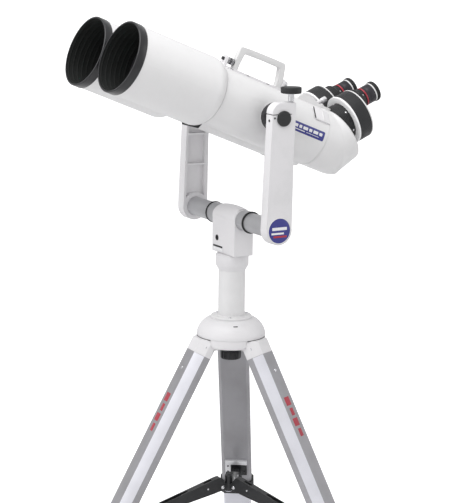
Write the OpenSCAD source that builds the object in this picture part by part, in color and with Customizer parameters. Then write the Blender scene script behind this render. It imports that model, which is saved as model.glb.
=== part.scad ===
// Giant astronomy binoculars on a two-arm fork, half pillar and folding tripod.
// Own frame: origin on the azimuth axis at floor level, +Z up, objectives face -Y,
// altitude axis along X. Suffix 1 is the +X side of the pair, suffix 2 the -X side.
// Legs 1, 2, 3 stand near 25, 145 and 265 degrees round Z.

/* [Optics] */
// distance between the two objective axes
tube_gap = 171; // [171:1:174]
// outer radius of a main tube
tube_r = 71; // [70:0.5:71.5]
// outer radius of a dew shield
shield_r = 84; // [83:0.5:84.5]
// how far the shield front lies ahead of the altitude axis
front_u = 390; // [380:1:400]
// tilt of the optical axis above level at rest
tilt = 21.6; // [15:0.1:30]

/* [Eyepiece end] */
// distance of each turret axis from the middle
turret_x = 65; // [64.5:0.5:66]
// radius of a turret
turret_r = 61.5; // [58:0.5:62]
// offset of the eyepiece from the turret axis
eye_off = 28; // [26:0.5:30]
// turret angle at rest, 0 brings the eyepieces closest together
eye_phi = 57.5; // [0:0.5:62]

/* [Fork] */
// height of the altitude axis above the floor
pivot_z = 1240; // [1238:1:1260]
// drop from the altitude axis to the cross shaft
fork_drop = 263; // [262:0.5:268]
// outer face of each arm from the middle
arm_x = 212; // [212:1:218]
// thickness of an arm
arm_t = 28; // [26:1:28]
// radius of the cross shaft
shaft_r = 23.5; // [22:0.5:24]

/* [Tripod] */
// lean of each leg from upright
leg_lean = 28.5; // [28:0.5:29]
// turn of the tripod under the fork
leg_turn = -5; // [-20:1:20]
// wall of the outer leg profile
leg_wall = 2.6; // [2.4:0.1:3]
// radius of the half pillar
pillar_r = 32.8; // [31:0.1:33]

/* [Hidden] */
$fn = 72;
NODES = ["head_casting", "pillar", "azimuth_collar", "centre_knob", "hinge_pins",
  "leg_socket_1", "leg_socket_2", "leg_socket_3", "leg_tube_1", "leg_tube_2", "leg_tube_3",
  "leg_collar_1", "leg_collar_2", "leg_collar_3", "leg_knob_1", "leg_knob_2", "leg_knob_3",
  "leg_inner_1", "leg_inner_2", "leg_inner_3", "leg_foot_1", "leg_foot_2", "leg_foot_3",
  "spreader_hub", "spreader_arm_1", "spreader_arm_2", "spreader_arm_3",
  "fork_hub", "fork_shaft", "fork_arm_1", "fork_arm_2", "shaft_rings", "azimuth_screw",
  "clamp_knob_1", "clamp_knob_2", "saddle", "handle", "handle_bolts", "trunnions",
  "pivot_caps", "lens_cells", "prisms", "tube_1", "tube_2", "shield_1", "shield_2",
  "objective_lenses", "housing_1", "housing_2", "drum_1", "drum_2", "rhomb_1", "rhomb_2",
  "focuser_1", "focuser_2", "eyepiece_1", "eyepiece_2", "eyecup_1", "eyecup_2", "bridge"];
node = "all";

SIDES = [-1, 1];
LEGS = [30 + leg_turn, 150 + leg_turn, 270 + leg_turn];

enamel = [0.9, 0.9, 0.89];
black = [0.12, 0.12, 0.13];
glass = [0.7, 0.78, 0.85];

// optics
tube_x = tube_gap / 2;          // optical axis from the middle
pivot_y = 5.6;                  // altitude axis behind the azimuth axis
fold_back = 222;                // centre of the elbow behind the altitude axis
seam_back = 170;                // joint between tube and prism housing
trunnion_x = tube_x + tube_r + 4; // flat of the tube boss that carries the trunnion
elbow_lean = 36;                // elbow axis, back from square to the tubes
mitre_lean = (90 + elbow_lean) / 2;
turret_below = 137;             // turret axis below and behind the altitude axis
wheel_below = 88;               // the same for the post of the wheel train

// fork
arm_in = arm_x - arm_t;         // inner face of an arm
shaft_z = pivot_z - fork_drop;
hub_h = 88;                     // underside of the hub to the shaft axis
hub_z = shaft_z - hub_h;        // underside of the fork hub
pillar_top = hub_z - 41.7;

// tripod
crown_z = 728.5;                // top of the tripod head
hinge_r = 80;                   // leg hinge: distance from the azimuth axis
hinge_z = 664;                  // leg hinge: height
leg_l = hinge_z / cos(leg_lean);
brace_down = 454.5;             // brace pivot, along the leg from the hinge
brace_in = 42;                  // brace pivot, inside the leg centre line
brace_z = hinge_z - brace_down * cos(leg_lean) - brace_in * sin(leg_lean);
brace_r = hinge_r + brace_down * sin(leg_lean) - brace_in * cos(leg_lean);
bhub_r = 20;                    // inner pivot of the brace arms
bhub_z = 296;
brace_drop = atan2(bhub_z - brace_z, brace_r - bhub_r);
brace_l = sqrt(pow(bhub_z - brace_z, 2) + pow(brace_r - bhub_r, 2));

// ---- frames -------------------------------------------------------------
// optical frame: y runs back along the tubes, z up from them, x across
module bino() { translate([0, pivot_y, pivot_z]) rotate([-tilt, 0, 0]) children(); }
// one barrel, local z runs back along the optical axis
module barrel(side) { bino() translate([side * tube_x, 0, 0]) rotate([-90, 0, 0]) children(); }
// centre of the bend, local z leans back by the given angle
module bend(x, lean) { bino() translate([x, fold_back, 0]) rotate([-lean, 0, 0]) children(); }
// eyepiece side of the elbow, local z leans forward of the viewing axis
module elbow(side) { bend(side * tube_x, elbow_lean) children(); }
// plane that halves the bend, local z points out of it towards the eyepieces
module mitre(side) { bend(side * tube_x, mitre_lean) children(); }
// local z runs out along the viewing axis, 45 degrees to the tubes
module viewing(x, below) {
  bino() translate([x, below * sqrt(0.5), -below * sqrt(0.5)]) rotate([-45, 0, 0]) children();
}
module turret(side) { viewing(side * turret_x, turret_below) translate([0, 0, -10.5]) children(); }
module eye(side) {
  turret(side)
    translate([-side * eye_off * cos(eye_phi), -eye_off * sin(eye_phi), 0]) children();
}
// one leg, local -z runs down the leg, +x is its outer face
module leg(number) {
  rotate([0, 0, LEGS[number - 1]]) translate([hinge_r, 0, hinge_z])
    rotate([0, -leg_lean, 0]) children();
}
module at_legs() { for (turn = LEGS) rotate([0, 0, turn]) children(); }

// ---- shared shapes ------------------------------------------------------
// lowest x of a span that lies between inner and outer on the given side
function low_x(side, inner, outer) = side > 0 ? inner : -outer;
module x_cyl(radius, inner, outer, side = 1) {
  translate([low_x(side, inner, outer), 0, 0]) rotate([0, 90, 0])
    cylinder(r = radius, h = outer - inner);
}
module y_cyl(radius, from, to) {
  translate([0, from, 0]) rotate([-90, 0, 0]) cylinder(r = radius, h = to - from);
}
// outline of y, z drawn out to a width centred along x
module x_slab(width) {
  translate([-width / 2, 0, 0]) rotate([90, 0, 90]) linear_extrude(height = width) children();
}
// outline of x, z drawn out to a width centred along y
module y_slab(width) {
  translate([0, width / 2, 0]) rotate([90, 0, 0]) linear_extrude(height = width) children();
}
// points are radius, z
module revolve(outline) { rotate_extrude() polygon(outline); }
// ring of cylinders that notch the rim of a knob
module notches(count, reach, radius, bottom, height) {
  for (i = [0 : count - 1]) rotate([0, 0, i * 360 / count])
    translate([reach, 0, bottom]) cylinder(r = radius, h = height);
}

// ---- tripod head --------------------------------------------------------
lug_w = 24;       // width and end radius of the leg lugs
lug_r = 14;
pin_r = 5;
pin_half = 36;    // half length of a hinge pin
bolt_r = 6;       // centre bolt
spindle_r = 20;   // azimuth spindle inside the fork hub
spindle_h = 51;
pillar_bore = pillar_r - 5;

// domed crown: radius, z
crown_outline = [[0, 682], [81, 682], [84, 686], [84, 693], [82.8, 698], [80.4, 704], [77, 710],
  [72.5, 716], [67, 721.5], [60, 726], [52, crown_z], [0, crown_z]];
// grip and bolt: radius, z
centre_knob_outline = [[0, 624.5], [21, 624.5], [24.5, 626], [25.7, 629], [25.7, 641],
  [24.5, 644], [22, 645.5], [11, 645.5], [11, 655.5], [bolt_r, 655.5], [bolt_r, 742], [0, 742]];

// point a distance out along an angle, then a distance to its left
function out_left(angle, out, left) =
  [out * cos(angle) - left * sin(angle), out * sin(angle) + left * cos(angle)];

module head_casting() color(enamel) difference() {
  union() {
    revolve(crown_outline);
    // three-sided body under the crown, flats between the legs
    translate([0, 0, 665]) linear_extrude(height = 18) difference() {
      intersection() {
        circle(r = 75);
        polygon([for (turn = LEGS, left = [-53, 53]) out_left(turn + 60, 59, left)]);
      }
      at_legs() translate([44, -41]) square([50, 82]);
    }
    // lugs that take the leg hinges
    at_legs() {
      translate([40, -lug_w / 2, hinge_z - lug_r]) cube([hinge_r - 40, lug_w, 34]);
      translate([hinge_r, 0, hinge_z]) y_cyl(lug_r, -lug_w / 2, lug_w / 2);
      translate([hinge_r - 2, -lug_w / 2, hinge_z]) cube([8, lug_w, 19]);
    }
    // boss for the centre bolt
    translate([0, 0, 656]) cylinder(r = 20, h = 27);
  }
  translate([0, 0, 640]) cylinder(r = bolt_r + 0.3, h = 100);
  at_legs() translate([hinge_r, 0, hinge_z]) y_cyl(pin_r, -20, 20);
}
module hinge_pins() color([0.6, 0.6, 0.62])
  at_legs() translate([hinge_r, 0, hinge_z]) y_cyl(pin_r, -pin_half, pin_half);
module pillar() color(enamel) revolve([
  [bolt_r + 0.05, crown_z], [50, crown_z], [50, 733], [48.5, 734.6],
  [pillar_r + 1.5, 734.6], [pillar_r, 736], [pillar_r, pillar_top], [pillar_bore, pillar_top],
  [pillar_bore, 745], [bolt_r + 0.05, 745]]);
module azimuth_collar() color([0.88, 0.88, 0.87]) revolve([
  [0, hub_z - 60], [pillar_bore - 0.02, hub_z - 60],
  [pillar_bore - 0.02, pillar_top], [pillar_r, pillar_top],
  [40, hub_z - 28.5], [40, hub_z - 2.5], [38, hub_z - 0.7], [spindle_r, hub_z - 0.7],
  [spindle_r, hub_z + spindle_h], [0, hub_z + spindle_h]]);
module centre_knob() color(black) difference() {
  revolve(centre_knob_outline);
  notches(9, reach = 30.2, radius = 6, bottom = 610, height = 40);
}

// ---- legs ---------------------------------------------------------------
// distances down the leg from the hinge
socket_down = 21;     // end of the socket cheeks, start of the outer profile
tube_down = 530;      // end of the outer profile
lock_down = 524;      // axis of the lock knob
inner_down = leg_l - 20; // end of the inner profile
// insets from the outer leg profile
inner_inset = leg_wall + 0.25;
foot_inset = leg_wall + 2.5;

// outer leg section moved inwards by an inset, +x outwards, symmetric in y
module leg_profile(inset) {
  half = [[21 - inset, 20 - 0.458 * inset], [-1 - 0.372 * inset, 39 - inset],
    [-17 + 0.515 * inset, 39 - inset], [-22 + inset, 32 - 0.32 * inset]];
  polygon(concat(half, [for (i = [3 : -1 : 0]) [half[i].x, -half[i].y]]));
}
module leg_socket(number) color(enamel) leg(number) difference() {
  union() {
    // cheeks either side of the head lug
    translate([0, 0, -socket_down]) linear_extrude(height = socket_down + 12) leg_profile(0);
    // plug inside the leg profile
    translate([0, 0, -85]) linear_extrude(height = 66) leg_profile(leg_wall + 0.05);
  }
  // slot for the head lug, open upwards and inwards
  translate([-30, -lug_w / 2 - 0.4, -17]) cube([60, lug_w + 0.8, 60]);
  translate([-40, -45, 12]) rotate([0, leg_lean, 0]) translate([0, 0, -6]) cube([30, 90, 40]);
  // hole and end recesses of the hinge pin
  y_cyl(pin_r + 0.05, -41, 41);
  y_cyl(9, pin_half + 0.1, 45);
  y_cyl(9, -45, -pin_half - 0.1);
  // hollow core of the plug
  translate([-8, -24, -90]) cube([16, 48, 52]);
}
module leg_tube(number) color([0.62, 0.62, 0.65]) leg(number)
  translate([0, 0, -tube_down]) linear_extrude(height = tube_down - socket_down) difference() {
    leg_profile(0);
    leg_profile(leg_wall);
  }
module leg_collar(number) color([0.15, 0.15, 0.16]) leg(number) difference() {
  union() {
    translate([0, 0, -548]) linear_extrude(height = 44) leg_profile(-5);
    // clamp boss on the outer face
    translate([0, 0, -lock_down]) x_cyl(11, 20, 36);
    // strap and brace lug on the inner face
    translate([-27, -14, -520]) cube([5, 28, 60]);
    translate([-27, -28, -476]) cube([5, 56, 42]);
    for (side = SIDES) translate([-46, side * 9.5 - 3, -brace_down - 8]) cube([20, 6, 16]);
    translate([-brace_in, 0, -brace_down]) y_cyl(3.5, -13, 13);
  }
  // seat of the outer profile, then passage for the inner profile
  translate([0, 0, -tube_down]) linear_extrude(height = 30) leg_profile(0);
  translate([0, 0, -600]) linear_extrude(height = 80) leg_profile(leg_wall + 0.15);
  translate([0, 0, -lock_down]) x_cyl(4.1, 10, 50);
}
module leg_knob(number) color([0.1, 0.1, 0.11])
  leg(number) translate([0, 0, -lock_down]) rotate([0, 90, 0]) union() {
    translate([0, 0, 22.1]) cylinder(r = 4, h = 16);
    difference() {
      translate([0, 0, 36.3]) cylinder(r = 19, h = 15);
      notches(6, reach = 23.5, radius = 8, bottom = 30, height = 30);
    }
  }
module leg_inner(number) color([0.7, 0.7, 0.73]) leg(number)
  translate([0, 0, -inner_down]) linear_extrude(height = inner_down - 110) difference() {
    leg_profile(inner_inset);
    leg_profile(leg_wall + 2.45);
  }
module leg_foot(number) color([0.08, 0.08, 0.08]) difference() {
  leg(number) union() {
    translate([0, 0, -leg_l - 12]) linear_extrude(height = 52) leg_profile(-1.2);
    translate([0, 0, -leg_l + 15]) linear_extrude(height = 40) leg_profile(foot_inset);
  }
  // room for the end of the inner profile
  leg(number) translate([0, 0, -inner_down]) linear_extrude(height = 60) difference() {
    leg_profile(inner_inset);
    leg_profile(foot_inset);
  }
  // sole cut level with the floor
  translate([-900, -900, -100]) cube([1800, 1800, 100]);
}

// ---- brace --------------------------------------------------------------
brace_pin_r = 3;
knuckle_w = 11.6;   // hub knuckle between the cheeks of an arm

module spreader_hub() color(black) union() {
  difference() {
    union() {
      translate([0, 0, bhub_z - 12]) cylinder(r = 10, h = 38);
      at_legs() {
        translate([4, -knuckle_w / 2, bhub_z - 8]) cube([bhub_r - 4, knuckle_w, 16]);
        translate([bhub_r, 0, bhub_z]) y_cyl(8, -knuckle_w / 2, knuckle_w / 2);
      }
    }
    translate([0, 0, bhub_z - 20]) cylinder(r = 5, h = 60);
  }
  at_legs() translate([bhub_r, 0, bhub_z]) y_cyl(brace_pin_r, -10.5, 10.5);
}
// local x runs from the hub pivot to the leg pivot
module spreader_arm(number) color(black) rotate([0, 0, LEGS[number - 1]])
  translate([bhub_r, 0, bhub_z]) rotate([0, brace_drop, 0]) difference() {
    union() {
      // channel, deepest at the hub
      y_slab(19) polygon([[-6, -7], [20, -8], [brace_l - 34, -6], [brace_l - 30, -3],
        [brace_l - 30, 5], [brace_l - 36, 8], [12, 27], [2, 27], [-6, 14]]);
      // tongue and outer eye
      translate([brace_l - 60, -6, -5]) cube([56, 12, 10]);
      translate([brace_l, 0, 0]) y_cyl(10.6, -6, 6);
    }
    // hollow of the channel, open below and at the hub
    y_slab(13.8) polygon([[-10, -20], [brace_l - 62, -20], [brace_l - 62, 12.5],
      [12, 24.2], [-10, 24.2]]);
    y_cyl(brace_pin_r + 0.06, -12, 12);
    // open outer eye, larger than its pin
    translate([brace_l, 0, 0]) y_cyl(7.4, -10, 10);
    // oval lightening holes along the top
    for (x = [26, 96]) {
      translate([x, -4, 10]) cube([16, 8, 30]);
      for (end = [0, 16]) translate([x + end, 0, 10]) cylinder(r = 4, h = 30);
    }
  }

// ---- fork ---------------------------------------------------------------
hub_half_x = 53;
hub_half_y = 26;
bore_r = 16;          // altitude bore of an arm
stud_x = arm_x - 14;  // clamp stud
stud_y = pivot_y + 28;
stud_r = 3.54;

// arm outline: y, z from the altitude axis
arm_outline = [[-30, -10], [-29.8, 8], [-20, 20], [-10, 28], [-9.5, 36], [31, 36],
  [33.5, 33.5], [33.5, 10], [29.8, -91], [28.7, -fork_drop + 6], [18, -fork_drop - 7],
  [-28, -fork_drop - 7], [-39.9, -fork_drop + 6], [-34, -106]];
// pocket of the inner face: y, z from the altitude axis
pocket_outline = [[-33, -262], [-27.5, -120], [-25, -40], [23, -40], [20, -91], [19, -262]];

module azimuth_screw_axis() { translate([-30.2, 0, hub_z + 35]) children(); }
module fork_hub() color(enamel) difference() {
  union() {
    intersection() {
      x_slab(2 * hub_half_x) union() {
        translate([-hub_half_y, hub_z]) square([2 * hub_half_y, hub_h]);
        translate([0, shaft_z]) circle(r = 26.5);
      }
      // top corners are rounded as seen along Y
      translate([0, 0, shaft_z - 96]) y_slab(60) union() {
        translate([-hub_half_x, 0]) square([2 * hub_half_x, 104]);
        translate([-39, 100]) square([78, 24]);
        for (side = SIDES) translate([side * 35, 104]) circle(r = 18);
      }
    }
    translate([0, 0, shaft_z]) x_cyl(25, -84, 84);
  }
  translate([0, 0, shaft_z]) x_cyl(shaft_r, -90, 90);
  translate([0, 0, hub_z - 1]) cylinder(r = spindle_r + 0.05, h = spindle_h + 3);
  // threaded seat of the azimuth friction screw
  azimuth_screw_axis() {
    y_cyl(7.05, -30, -18);
    y_cyl(4.05, -30, -10);
  }
}
module azimuth_screw() color([0.08, 0.08, 0.09])
  azimuth_screw_axis() translate([0, -26.5, 0]) rotate([-90, 0, 0]) difference() {
    union() {
      cylinder(r = 7, h = 8.4);
      cylinder(r = 4, h = 15);
    }
    translate([0, 0, -1]) cylinder(r = 4, h = 6, $fn = 6);
  }
module fork_shaft() color([0.66, 0.66, 0.69]) translate([0, 0, shaft_z]) difference() {
  x_cyl(shaft_r, -arm_x + 8, arm_x - 8);
  x_cyl(shaft_r - 5, -arm_x + 3, arm_x - 3);
}
module shaft_rings() color([0.07, 0.07, 0.08])
  for (side = SIDES) translate([side * 86.1, 0, shaft_z]) difference() {
    x_cyl(26.3, -2, 2);
    x_cyl(shaft_r, -3, 3);
  }
// blank of an arm, first coordinate Y, second height, both from the altitude axis
module arm_blank() {
  linear_extrude(height = arm_t) polygon(arm_outline);
  translate([-5.5, 12, 0]) cylinder(r = 24, h = arm_t);
  translate([-pivot_y, -fork_drop, 0]) cylinder(r = 34.5, h = arm_t);
}
module fork_arm(side) color(enamel) difference() {
  translate([low_x(side, arm_in, arm_x), pivot_y, pivot_z]) rotate([90, 0, 90]) difference() {
    arm_blank();
    translate([0, 0, -1]) cylinder(r = bore_r, h = arm_t + 2);
    // clamp slit open at the front edge, short relief behind the bore
    translate([-40, 8.4, -1]) cube([28, 2, arm_t + 2]);
    translate([12, 8.4, -1]) cube([11, 2, arm_t + 2]);
  }
  // cross shaft seat, blind from the inside
  translate([0, 0, shaft_z]) x_cyl(shaft_r, arm_in - 5, arm_x - 8, side);
  // pockets of the inner face with their ribs, the lowest ends round the shaft seat
  translate([side * (arm_in + 4), pivot_y, pivot_z]) x_slab(10) difference() {
    polygon(pocket_outline);
    for (rib_z = [-83, -159]) translate([-60, rib_z]) square([120, 5]);
    translate([-pivot_y, -fork_drop]) circle(r = 35);
  }
  // clamp stud hole
  translate([side * stud_x, stud_y, pivot_z - 24]) cylinder(r = stud_r + 0.06, h = 80);
  // setscrew hole in front of the bore, from the outer face
  translate([0, pivot_y - 23.6, pivot_z + 1.6]) x_cyl(2.6, arm_x - 8, arm_x + 1, side);
}
module clamp_knob(side) color([0.06, 0.06, 0.07])
  translate([side * stud_x, stud_y, pivot_z]) union() {
    translate([0, 0, -22]) cylinder(r = stud_r, h = 60);
    translate([0, 0, 36.2]) cylinder(r = 6.8, h = 24);
    difference() {
      translate([0, 0, 59.5])
        revolve([[0, 0], [22, 0], [24, 2], [24, 9.5], [22, 11.5], [0, 11.5]]);
      notches(12, reach = 26.2, radius = 3, bottom = 50, height = 30);
    }
  }

// ---- binocular body -----------------------------------------------------
tube_front = 308;     // front end of a tube ahead of the altitude axis
saddle_z = 67.5;      // underside of the saddle above the tube axes
shield_bore = shield_r - 3;

// raised crest: y, z in the optical frame
crest_outline = [[97, 40], [97, 74], [102, 82], [110, 87], [118, 88.5], [134, 88.5],
  [142, 86.5], [150, 82], [155, 79.5], [seam_back, 79.5], [seam_back, 40]];
// radius, z along the barrel in the cell frame
cell_outline = [[63, -292], [tube_r + 5, -292], [tube_r + 5, -288.02],
  [tube_r - 3.25, -288.02], [tube_r - 3.25, -256], [62, -256], [62, -262],
  [65.02, -262], [65.02, -288], [63, -288]];
lens_outline = [[0, -291], [12, -290.8], [24, -290.2], [36, -289.2], [48, -288.1], [50, -288],
  [65, -287.8], [65, -262.2], [50, -262.2], [48, -262.6], [24, -264.6], [0, -265.4]];
// radius, z along the barrel
shield_outline = [[82, -front_u], [shield_r + 0.2, -front_u], [shield_r + 1, -front_u + 0.8],
  [shield_r + 1, -front_u + 20], [shield_r, -front_u + 21], [shield_r, -161],
  [shield_r - 0.5, -156.5], [shield_r - 2, -151], [shield_r - 4.5, -145.5],
  [shield_r - 8, -140.5], [shield_r - 11.5, -137], [tube_r + 0.1, -137],
  [tube_r + 0.1, -166], [shield_bore, -172], [shield_bore, -front_u + 3]];
// radius, z along the elbow axis
elbow_outline = [[0, -60], [tube_r + 0.6, -60], [tube_r + 0.6, 34], [tube_r, 38],
  [tube_r - 3, 41], [0, 41]];
// y, z from the middle of the prism
prism_outline = [[-30, -22], [-30, 22], [-8, 38], [10, 44], [36, 18], [36, -8], [4, -34]];

module tube_one(side) color(enamel) difference() {
  union() {
    barrel(side) revolve([[0, -tube_front], [tube_r, -tube_front],
      [tube_r, seam_back], [0, seam_back]]);
    // side boss for the trunnion
    bino() x_cyl(27, tube_x, trunnion_x, side);
    // pad that carries the saddle
    bino() translate([low_x(side, 34, 64), -96, 40]) cube([30, 192, saddle_z - 40]);
    // raised crest on the inner side of the top
    bino() translate([side * (tube_x - 8), 0, 0]) x_slab(26) polygon(crest_outline);
  }
  barrel(side) translate([0, 0, -320]) cylinder(r = tube_r - 3.2, h = 520);
}
module cell_frame(side) { barrel(side) translate([0, 0, -20]) children(); }
module lens_cells() color([0.1, 0.1, 0.1])
  for (side = SIDES) cell_frame(side) revolve(cell_outline);
module objective_lenses() color([0.6, 0.7, 0.8])
  for (side = SIDES) cell_frame(side) revolve(lens_outline);
module shield_one(side) color([0.91, 0.91, 0.9]) barrel(side) revolve(shield_outline);
// block on one side of the mitre plane, starting at local z = bottom
module mitre_block(side, bottom) {
  mitre(side) translate([-100, -130, bottom]) cube([200, 260, 130]);
}
module housing_one(side) color(enamel) difference() {
  union() {
    difference() {
      barrel(side) translate([0, 0, seam_back])
        cylinder(r = tube_r + 1.2, h = fold_back + 60 - seam_back);
      mitre_block(side, 0);
    }
    difference() {
      elbow(side) revolve(elbow_outline);
      mitre_block(side, -130);
    }
    // spigot inside the tube
    barrel(side) translate([0, 0, seam_back - 16]) cylinder(r = 66, h = 20);
    // flat lip running back over the inner side of the top
    bino() translate([side * (tube_x - 17) - 12, seam_back + 0.05, 40]) cube([24, 34, 40]);
  }
  // outer corner of the bend rounded off in three flats
  for (turn = [-17, 0, 17]) mitre(side) rotate([turn, 0, 0])
    translate([-100, 74.5, -60]) cube([200, 40, 120]);
  // open towards the tube
  barrel(side) translate([0, 0, 130]) cylinder(r = 57.5, h = fold_back - 112);
  // open towards the turret
  elbow(side) cylinder(r = 57, h = 31);
  turret(side) translate([0, 0, 176]) cylinder(r = 47, h = 90);
}
// web between the two housings with the post of the turret wheel train
module bridge() color([0.85, 0.85, 0.85]) difference() {
  union() {
    bend(0, elbow_lean) translate([-56, -68, 12]) cube([112, 14, 24]);
    viewing(0, wheel_below) translate([0, 0, 170]) cylinder(r = 4.5, h = 64);
    viewing(0, wheel_below) translate([0, 0, 226]) cylinder(r = 6.2, h = 15);
  }
  for (side = SIDES) {
    elbow(side) translate([0, 0, -50]) cylinder(r = tube_r + 1.25, h = 120);
    barrel(side) translate([0, 0, 100]) cylinder(r = tube_r + 1.3, h = 124);
  }
}
module prisms() color(glass) for (side = SIDES)
  bino() translate([side * (tube_x - 8), fold_back - 22.5, 0]) x_slab(46)
    polygon(prism_outline);

// ---- turrets and eyepieces ----------------------------------------------
// outlines: radius, z along the viewing axis
drum_outline = [[40, 190], [46.9, 190], [46.9, 243], [turret_r + 1, 243], [turret_r + 1, 247],
  [turret_r, 247], [turret_r, 284], [turret_r - 0.6, 286.4], [turret_r - 1.6, 287],
  [0, 288.5], [0, 284], [turret_r - 5, 284], [turret_r - 5, 251], [40, 251]];
focuser_outline = [[20.1, 289.2], [29, 289.2], [30, 290.2], [30, 305], [28.5, 307.5],
  [25.5, 309.5], [24.2, 318], [23.6, 319], [21.6, 319], [21.6, 301.4], [20.1, 301.4]];
eyepiece_outline = [[12.5, 289], [15.85, 289], [15.85, 306], [21.4, 306], [21.4, 322.4],
  [23.5, 322.4], [23.5, 325.6], [23, 326.2], [23, 348.5], [23.8, 349.3], [23.8, 353.3],
  [22, 353.6], [22, 360.6], [14, 360.6], [14, 357], [12.5, 357]];
eyecup_outline = [[22.1, 353.9], [25, 353.9], [25.5, 355], [25.2, 361.6], [24, 363],
  [17, 363], [16, 362.2], [16.6, 360.9], [22.1, 360.9]];

module drum_one(side) color([0.13, 0.13, 0.14]) difference() {
  union() {
    turret(side) revolve(drum_outline);
    eye(side) translate([0, 0, 284]) cylinder(r = 20, h = 17);
  }
  eye(side) translate([0, 0, 260]) cylinder(r = 17, h = 60);
}
// leads from the turret axis out to the eyepiece
module rhomb_one(side) color(glass)
  turret(side) rotate([0, 0, side > 0 ? 180 + eye_phi : -eye_phi]) translate([0, 0, 253])
    y_slab(24) polygon([[-16, 0], [14, 0], [eye_off + 15, 30.9], [eye_off - 13, 30.9]]);
module focuser_one(side) color([0.1, 0.1, 0.11]) eye(side) revolve(focuser_outline);
module eyepiece_one(side) color([0.2, 0.2, 0.22]) eye(side) revolve(eyepiece_outline);
module eyecup_one(side) color([0.07, 0.07, 0.07]) eye(side) revolve(eyecup_outline);

// ---- saddle, handle, trunnions ------------------------------------------
saddle_t = 9.5;
lug_t = 7;            // thickness of the upright lugs
front_lug_y = -80;
rear_lug_y = 94.3;
handle_bolt_z = 101;  // axis of both handle bolts
handle_bolt_r = 4;

// y, z in the optical frame
handle_outline = [[-51, 86], [-51, 106], [-48, 138], [-45, 142.5], [-40, 144], [20, 146.5],
  [80, 147], [85, 145.5], [88, 141], [94, 106], [94, 86]];
handle_opening = [[-34.8, 80], [-32, 125], [-28, 129], [-20, 130], [0, 129], [25, 128.4],
  [50, 129], [64, 130.5], [69, 129], [72, 125], [72, 80]];

module saddle() color(enamel) bino() difference() {
  union() {
    translate([-61, -98, saddle_z]) cube([122, 208, saddle_t]);
    // rail under the handle with an upright lug at each end
    translate([-13, front_lug_y, saddle_z + saddle_t]) cube([26, 182, 8.8]);
    for (y = [front_lug_y, rear_lug_y]) {
      translate([-10, y, 80]) cube([20, lug_t, handle_bolt_z - 80]);
      translate([0, y, handle_bolt_z]) y_cyl(10, 0, lug_t);
    }
  }
  for (y = [-90, 90]) translate([0, y, handle_bolt_z]) y_cyl(handle_bolt_r + 0.05, 0, 24);
}
module handle() color([0.88, 0.88, 0.88]) bino() difference() {
  x_slab(21) difference() {
    polygon(handle_outline);
    polygon(handle_opening);
  }
  for (y = [-60, 84]) translate([0, y, handle_bolt_z]) y_cyl(handle_bolt_r, 0, 26);
}
module handle_bolts() color([0.25, 0.25, 0.26]) bino() {
  // thumb screw between front lug and handle
  translate([0, front_lug_y, handle_bolt_z]) union() {
    y_cyl(handle_bolt_r, -5, 40);
    y_cyl(8, 8, 16.5);
    y_cyl(8, 18.5, 27);
    y_cyl(6.2, 16, 19);
  }
  // hexagon screw through the rear lug
  translate([0, rear_lug_y + lug_t + 0.1, handle_bolt_z]) union() {
    rotate([-90, 0, 0]) cylinder(r = 7.6, h = 8.5, $fn = 6);
    y_cyl(handle_bolt_r, -17, 1);
  }
}
module trunnions() color([0.08, 0.08, 0.09]) for (side = SIDES) bino() union() {
  x_cyl(30, trunnion_x, trunnion_x + 4, side);
  x_cyl(32, trunnion_x + 4, arm_in - 2, side);
  x_cyl(27, arm_in - 3, arm_in - 0.5, side);
  x_cyl(bore_r - 0.05, arm_in - 2, arm_x + 0.3, side);
}
module pivot_caps() color([0.05, 0.05, 0.06])
  for (side = SIDES) bino() rotate([0, side * 90, 0]) revolve([[0, arm_x + 0.3],
    [18, arm_x + 0.3], [18, arm_x + 4.4], [17, arm_x + 5.4], [0, arm_x + 5.4]]);

// ---- nodes --------------------------------------------------------------
function shown(name) = node == "all" || node == name;

if (shown("head_casting")) head_casting();
if (shown("pillar")) pillar();
if (shown("azimuth_collar")) azimuth_collar();
if (shown("centre_knob")) centre_knob();
if (shown("hinge_pins")) hinge_pins();
if (shown("leg_socket_1")) leg_socket(1);
if (shown("leg_socket_2")) leg_socket(2);
if (shown("leg_socket_3")) leg_socket(3);
if (shown("leg_tube_1")) leg_tube(1);
if (shown("leg_tube_2")) leg_tube(2);
if (shown("leg_tube_3")) leg_tube(3);
if (shown("leg_collar_1")) leg_collar(1);
if (shown("leg_collar_2")) leg_collar(2);
if (shown("leg_collar_3")) leg_collar(3);
if (shown("leg_knob_1")) leg_knob(1);
if (shown("leg_knob_2")) leg_knob(2);
if (shown("leg_knob_3")) leg_knob(3);
if (shown("leg_inner_1")) leg_inner(1);
if (shown("leg_inner_2")) leg_inner(2);
if (shown("leg_inner_3")) leg_inner(3);
if (shown("leg_foot_1")) leg_foot(1);
if (shown("leg_foot_2")) leg_foot(2);
if (shown("leg_foot_3")) leg_foot(3);
if (shown("spreader_hub")) spreader_hub();
if (shown("spreader_arm_1")) spreader_arm(1);
if (shown("spreader_arm_2")) spreader_arm(2);
if (shown("spreader_arm_3")) spreader_arm(3);
if (shown("fork_hub")) fork_hub();
if (shown("fork_shaft")) fork_shaft();
if (shown("fork_arm_1")) fork_arm(1);
if (shown("fork_arm_2")) fork_arm(-1);
if (shown("shaft_rings")) shaft_rings();
if (shown("azimuth_screw")) azimuth_screw();
if (shown("clamp_knob_1")) clamp_knob(1);
if (shown("clamp_knob_2")) clamp_knob(-1);
if (shown("saddle")) saddle();
if (shown("handle")) handle();
if (shown("handle_bolts")) handle_bolts();
if (shown("trunnions")) trunnions();
if (shown("pivot_caps")) pivot_caps();
if (shown("lens_cells")) lens_cells();
if (shown("prisms")) prisms();
if (shown("tube_1")) tube_one(1);
if (shown("tube_2")) tube_one(-1);
if (shown("shield_1")) shield_one(1);
if (shown("shield_2")) shield_one(-1);
if (shown("objective_lenses")) objective_lenses();
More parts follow.
